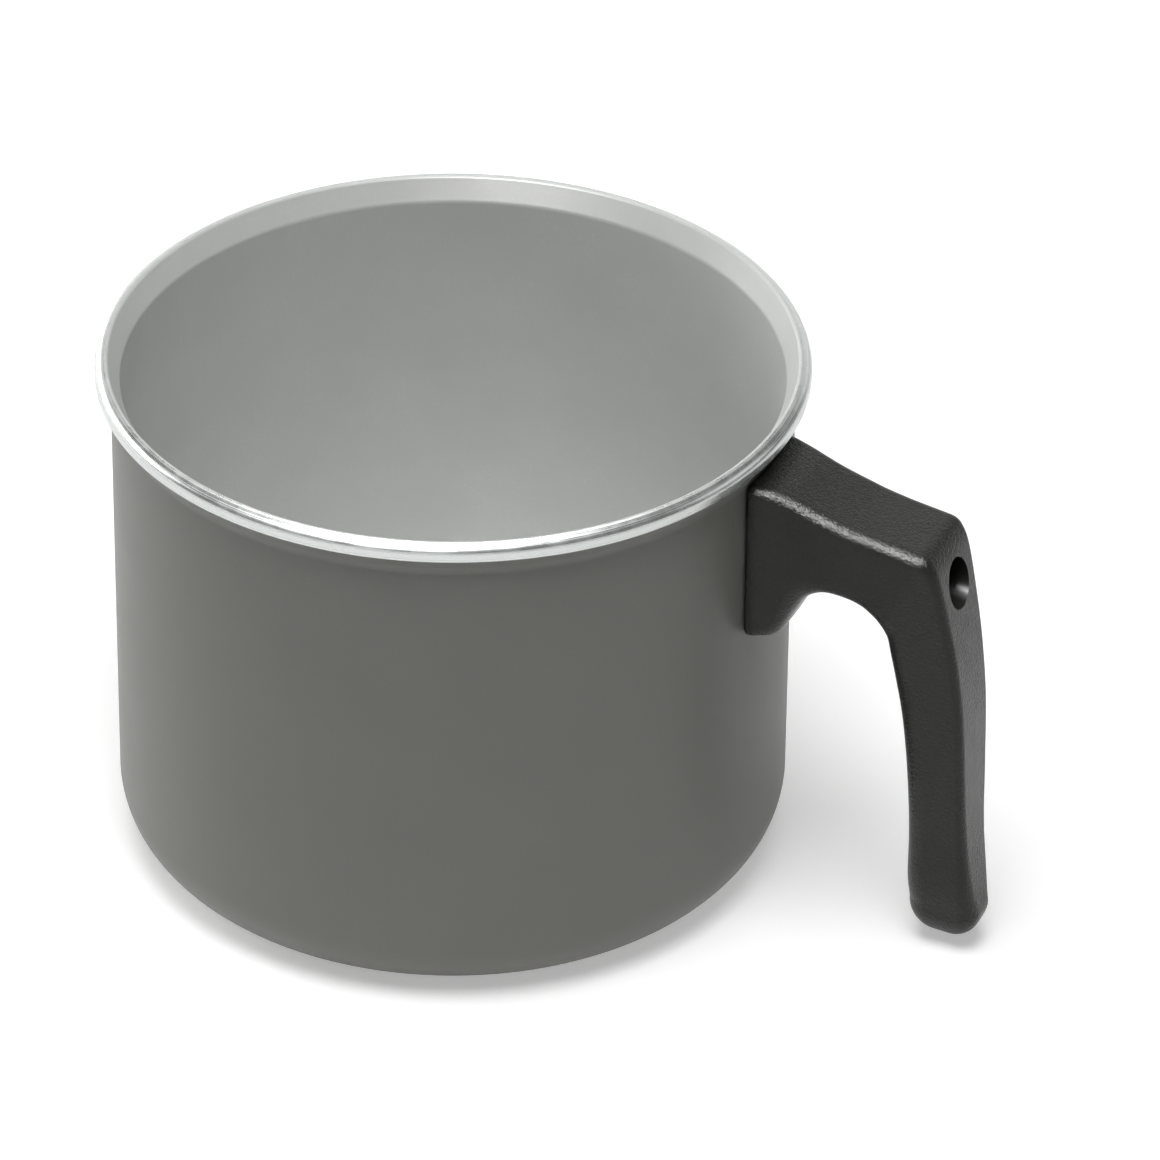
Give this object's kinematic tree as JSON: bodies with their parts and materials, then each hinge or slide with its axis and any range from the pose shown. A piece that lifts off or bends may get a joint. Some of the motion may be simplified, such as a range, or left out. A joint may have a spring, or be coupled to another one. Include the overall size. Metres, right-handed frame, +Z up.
{
  "type": "milk_boiler",
  "caption": "Straight-walled aluminium milk pot with a rounded base corner, a flared pouring rim with a turned bright edge, and a black phenolic hanging side grip screwed to a welded bracket.",
  "frame": {"origin": "centre of the pot's flat underside, on the pot's axis", "axes": "+Z up the pot's axis, +X from the pot's axis along the handle, +Y across the handle"},
  "size_m": [0.1934, 0.1466, 0.1137],
  "materials": {
    "coated_aluminium": "warm grey non-stick coating outside, lighter grey inside, with the rim edge turned bright",
    "bare_aluminium": "bare, as welded",
    "phenolic": "black moulded phenolic with a fine satin grain",
    "zinc_plated_steel": "zinc plated"
  },
  "bodies": {
    "root": {"pot_body": "coated_aluminium", "handle_bracket": "bare_aluminium", "handle": "phenolic", "lock_washer": "zinc_plated_steel", "handle_screw": "zinc_plated_steel"}
  },
  "joints": []
}
